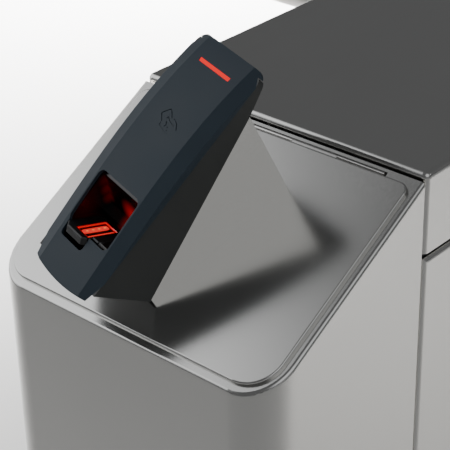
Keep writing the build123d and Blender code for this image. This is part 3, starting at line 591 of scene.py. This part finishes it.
@dataclass
class Reader:
    """The fingerprint and card reader: where its front stands on the lid, its sunk symbol and its lit sensor.

    Sizes are in millimetres and angles in degrees, and they say what the CAD source says.
    """

    body: str = "front_lid"
    slope_angle: float = 29.4
    pylon_depth: float = 165.0
    lid_rise: float = 3.0
    bracket_from_edge: float = 118.3
    bracket_up_slope: float = 30.5
    bracket_yaw: float = 14.5
    bracket_angle: float = 30.2
    foot: tuple[float, float, float] = (-35.75, -1.4, 4.2)
    seam: tuple[float, float, float] = (0.0, -2.2, 49.5)
    taper: float = 13.86
    window_start: tuple[float, float, float] = (-4.2, 24.0, 6.2)
    window_tilt: float = 56.0
    window_width: float = 14.4
    window_length: float = 23.4
    symbol_middle: tuple[float, float] = (1.0, 117.7)
    symbol_turn: float = 49.0
    groove_width: float = 0.8
    groove_depth: float = 0.4
    weld: float = 1e-6
    sharp_edge: float = 12.0
    window_edge: float = 1.5
    light_depth: float = -1.25
    bar_aside: float = -1.2

    def __post_init__(self) -> None:
        """Works out the front's frame: X across the front, Y up it, Z out of it."""
        low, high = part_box("front_pylon_shell")
        rise = self.pylon_depth * tan(radians(self.slope_angle))
        slope = Matrix.Translation((0, low.y, high.z)) @ shift(0, 0, -rise) @ turn(self.slope_angle, "X")
        corner = shift(high.x / MM - self.bracket_from_edge, self.bracket_up_slope, self.lid_rise)
        bracket = slope @ corner @ turn(-self.bracket_yaw, "Z")
        mount = bracket @ shift(*self.foot) @ turn(self.bracket_angle, "X")
        self.front = mount @ shift(*self.seam) @ turn(-self.taper, "X")
        self.window = self.front @ shift(*self.window_start) @ turn(-self.window_tilt, "X")

    def build(self) -> None:
        """Makes the symbol and the sensor's lit parts."""
        self.cover()
        self.sensor()
        self.well()

    def strokes(self) -> list[np.ndarray]:
        """The lines of the symbol, a card held over the reader by a hand, in its own upright frame."""
        lines = [
            [(-5.6, 3.0), (-5.6, 9.4), (2.5, 9.4), (2.5, 2.2)],
            [(-6.4, 2.2), (-7.7, 0.9), (-6.2, -1.6), (-4.0, -5.0), (-2.8, -7.6), (-0.4, -9.4)],
            [(-1.7, 3.3), (-0.2, 4.4), (0.7, 1.2), (2.2, -2.0), (3.8, -4.8)],
            [(3.9, 0.8), (5.4, -0.6), (6.0, -4.2), (5.4, -8.4)],
            [(-1.9, 1.2), (-2.2, -1.2), (-4.0, -2.0)],
            [(-1.8, -3.2), (-0.8, -4.2)],
            [(-2.4, -5.4), (-1.4, -6.4)],
        ]
        return [smooth_path(line, 24) for line in lines]

    def cover(self) -> None:
        """Cuts the symbol's grooves into a merged copy of the front cover, and shades it smooth with area-weighted
        normals.
        """
        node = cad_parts["reader_cover"]
        mesh = node.data.copy()
        work = bmesh.new()
        work.from_mesh(mesh)
        bmesh.ops.remove_doubles(work, verts=work.verts, dist=self.weld)
        work.to_mesh(mesh)
        work.free()
        made = bpy.data.objects.new("reader_front", mesh)
        bpy.context.scene.collection.objects.link(made)
        x, y = self.symbol_middle
        over = self.front @ shift(x, y, 60)
        out = (self.front.to_3x3() @ Vector((0, 0, 1))).normalized()
        _, spot, normal, _ = made.ray_cast(over.translation, -out)
        side = self.front.to_3x3() @ Vector((1, 0, 0))
        up = normal.cross(side).normalized()
        place = Matrix.Translation(spot) @ Matrix((up.cross(normal), up, normal)).transposed().to_4x4()
        place = place @ turn(self.symbol_turn, "Z")
        half = self.groove_width / 2
        profile = np.array([(-half, -self.groove_depth), (half, -self.groove_depth), (half, 1.0), (-half, 1.0)])
        points, faces = [], []
        for stroke in self.strokes():
            some, quads = carry(stroke, profile, closed=False)
            start = sum(len(p) for p in points)
            points.append(some)
            faces += [[start + number for number in quad] for quad in quads]
        finish = FINISHES["slate_plastic"]
        cutter = piece("symbol_cutter", np.vstack(points), faces, place, finish)
        cut = made.modifiers.new("symbol", "BOOLEAN")
        cut.object, cut.operation, cut.solver = cutter, "DIFFERENCE", "MANIFOLD"
        grooved = bpy.data.meshes.new_from_object(made.evaluated_get(bpy.context.evaluated_depsgraph_get()))
        made.modifiers.clear()
        bpy.data.objects.remove(cutter)
        made.data = grooved
        grooved.shade_smooth()
        grooved.set_sharp_from_angle(angle=radians(self.sharp_edge))
        grooved.materials.clear()
        grooved.materials.append(finish.material())
        even = made.modifiers.new("even_shading", "WEIGHTED_NORMAL")
        even.mode, even.weight, even.keep_sharp = "FACE_AREA", 100, True
        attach(made, self.body)
        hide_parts("reader_cover")
        log.info("built reader_front")

    def lit(
        self, name: str, points: np.ndarray, faces: Sequence, finish: Finish, slot: str, *stands_for: str
    ) -> None:
        """Makes one piece of the sensor in the window's frame.

        Args:
            name: the piece's name.
            points: its points in millimetres.
            faces: its faces.
            finish: its finish.
            slot: the name of a material slot; not used.
            stands_for: the CAD nodes that it replaces.
        """
        made = piece(name, points, faces, self.window, finish)
        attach(made, self.body)
        if stands_for:
            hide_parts(*stands_for)
        log.info("built %s", name)

    def sensor(self) -> None:
        """The parts under the glass: a dark bed, a lit bar with four lamps, a lit edge bar and a lit frame."""
        half, length = self.window_width / 2, self.window_length
        middle = self.window_edge + length / 2
        bed = pillow((0, middle, -1.9), (half - 0.5, length / 2 - 0.5, 0.45), 0.12)
        self.lit("sensor_bed", *bed, PRISM, "well_plastic", "sensor_light")
        bar = pillow((self.bar_aside, middle - 0.4, self.light_depth), (2.5, length / 2 - 1.6, 0.32), 0.3)
        self.lit("sensor_lamp_bar", *bar, LAMP_BAR, "lit_red")
        edge = pillow((half - 1.5, middle - 0.6, self.light_depth), (0.75, length / 2 - 1.2, 0.3), 0.3)
        self.lit("sensor_edge_bar", *edge, LAMP_BAR, "lit_red")
        along = [self.window_edge + length * share for share in (0.2, 0.4, 0.6, 0.8)]
        lamps = [pillow((self.bar_aside, y, -1.0), (0.85, 1.1, 0.14), 1.0) for y in along]
        points = np.vstack([lamp[0] for lamp in lamps])
        faces = [
            [len(lamp[0]) * index + number for number in face] for index, lamp in enumerate(lamps) for face in lamp[1]
        ]
        self.lit("sensor_lamps", points, faces, LAMPS, "lit_red")
        x, y0, y1 = half - 0.35, self.window_edge + 0.35, self.window_edge + length - 0.35
        corners = [(0, y0), (x, y0), (x, y1), (-x, y1), (-x, y0), (0, y0)]
        path = smooth_path(corners, 161)[:-1]
        profile = np.array([(0.3, -1.6), (0.3, -0.85), (-0.3, -0.85), (-0.3, -1.6)])
        self.lit("sensor_frame", *carry(path, profile, closed=True), EDGE_LIGHT, "lit_red")

    def well(self) -> None:
        """Dresses the well with red light painted on its walls as emission, where the sensor's light would fall."""
        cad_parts["finger_well"].material_slots[0].material = WELL_WITH_PAINTED_RED_LIGHT.material()


# ---------------------------------------------------------------- studio


@dataclass(frozen=True)
class Panel:
    """A large lit cloth: the direction of its middle, its light, and the angles between which its edge fades."""

    towards: tuple[float, float, float]
    light: float
    edge_start: float
    edge_end: float


@dataclass(frozen=True)
class Softbox:
    """A square lamp with a grid: its centre and the point that it faces in metres, its side, watts and grid angle."""

    name: str
    place: tuple[float, float, float]
    aim: tuple[float, float, float]
    size: float
    power: float
    spread: float


@dataclass
class Studio:
    """A pale floor, soft lights and the camera."""

    floor_size: float = 80.0
    floor_colour: str = "#e9e8e6"
    room_light: float = 0.16
    room_tint: str = "#f3f5f8"
    panels: tuple[Panel, ...] = (
        Panel((-0.87, -0.25, 0.42), 1.9, 20.0, 36.0),
        Panel((0.72, -0.30, 0.62), 0.9, 14.0, 34.0),
    )
    softboxes: tuple[Softbox, ...] = (
        Softbox("back_softbox", (0.6, 4.6, 3.0), (-2.6, 1.7, 0), 1.8, 420, 36),
        Softbox("walk_softbox", (2.6, 1.6, 2.2), (1.1, 0.6, 0), 1.2, 12, 50),
        Softbox("lane_softbox", (-2.6, 0.6, 2.4), (-1.5, 0.1, 0), 1.2, 16, 50),
    )
    yaw: float = 42.402
    pitch: float = 29.601
    roll: float = -1.353
    corner_to_camera: tuple = (0.5261, -0.60885, 0.59076)
    corner_height: float = 0.91203
    focal_length: float = 126.85
    sensor: float = 36.0

    def build(self) -> None:
        """Builds the floor, the lights, the surrounding light and the camera."""
        self.floor()
        self.surroundings()
        self.lamps()
        self.camera()

    def floor(self) -> None:
        """A large square sheet on the ground."""
        half = self.floor_size / 2
        corners = [(-half, -half, 0), (half, -half, 0), (half, half, 0), (-half, half, 0)]
        sheet = bpy.data.meshes.new("floor")
        sheet.from_pydata(corners, [], [(0, 1, 2, 3)])
        floor = bpy.data.objects.new("floor", sheet)
        bpy.context.scene.collection.objects.link(floor)
        paint = Finish("pale_floor_paint", self.floor_colour, 0.75).material()
        sheet.materials.append(paint)

    def surroundings(self) -> None:
        """A dark room with two large soft panels.

        Each panel's brightness is a smooth step of the angle between a direction and the panel's middle, so it has a
        wide soft edge, as a lit cloth has.
        """
        world = bpy.data.worlds.new("studio_room")
        bpy.context.scene.world = world
        world.use_nodes = True
        tree = world.node_tree
        tree.nodes.clear()
        place = add(tree, "ShaderNodeTexCoord")
        total = add(tree, "ShaderNodeValue")
        total.outputs[0].default_value = self.room_light
        for panel in self.panels:
            middle = Vector(panel.towards).normalized()
            facing = add(
                tree,
                "ShaderNodeVectorMath",
                {0: place.outputs["Generated"]},
                {1: middle},
                operation="DOT_PRODUCT",
            )
            glow = add(
                tree,
                "ShaderNodeMapRange",
                {"Value": facing.outputs["Value"]},
                {
                    "From Min": cos(radians(panel.edge_end)),
                    "From Max": cos(radians(panel.edge_start)),
                    "To Max": panel.light,
                },
                interpolation_type="SMOOTHSTEP",
            )
            total = add(tree, "ShaderNodeMath", {0: total.outputs[0], 1: glow.outputs[0]}, operation="ADD")
        light = add(tree, "ShaderNodeBackground", {"Strength": total.outputs[0]}, {"Color": linear(self.room_tint)})
        add(tree, "ShaderNodeOutputWorld", {"Surface": light.outputs[0]})

    def lamps(self) -> None:
        """Hangs the softboxes, which light the floor behind the gate most, then the walk side and the lane."""
        for softbox in self.softboxes:
            place, aim = Vector(softbox.place), Vector(softbox.aim)
            data = bpy.data.lights.new(softbox.name, "AREA")
            data.shape = "SQUARE"
            data.size = softbox.size
            data.energy = softbox.power
            data.spread = radians(softbox.spread)
            lamp = bpy.data.objects.new(softbox.name, data)
            lamp.location = place
            lamp.rotation_euler = (aim - place).to_track_quat("-Z", "Y").to_euler()
            bpy.context.scene.collection.objects.link(lamp)

    def camera(self) -> None:
        """A long lens that looks down on the near corner of the pylon, turned by yaw, pitch and roll."""
        yaw, pitch, roll = radians(self.yaw), radians(self.pitch), radians(self.roll)
        forward = np.array([-sin(yaw) * cos(pitch), cos(yaw) * cos(pitch), -sin(pitch)])
        level = np.array([cos(yaw), sin(yaw), 0.0])
        upright = np.cross(level, forward)
        right = cos(roll) * level + sin(roll) * upright
        up = -sin(roll) * level + cos(roll) * upright
        low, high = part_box("front_pylon_shell")
        corner = np.array([high.x, low.y, self.corner_height])
        matrix = np.eye(4)
        matrix[:3, 0], matrix[:3, 1], matrix[:3, 2] = right, up, -forward
        matrix[:3, 3] = corner + np.array(self.corner_to_camera)
        data = bpy.data.cameras.new("camera")
        data.sensor_width = self.sensor
        data.lens = self.focal_length
        data.clip_start = 0.01
        camera = bpy.data.objects.new("camera", data)
        camera.matrix_world = Matrix(matrix.tolist())
        bpy.context.scene.collection.objects.link(camera)
        bpy.context.scene.camera = camera


def dress_nodes() -> None:
    """Gives each CAD node the finish of its material slot."""
    for name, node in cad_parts.items():
        slot = node.material_slots[0].material.name
        node.material_slots[0].material = FINISHES[slot].material()
        log.info("dressed %s", name)


def main() -> None:
    """Dresses the CAD nodes, then builds the reader's pieces and the studio."""
    logging.basicConfig(level=logging.INFO, format="%(message)s")
    dress_nodes()
    Reader().build()
    Studio().build()


if __name__ == "__main__":
    main()
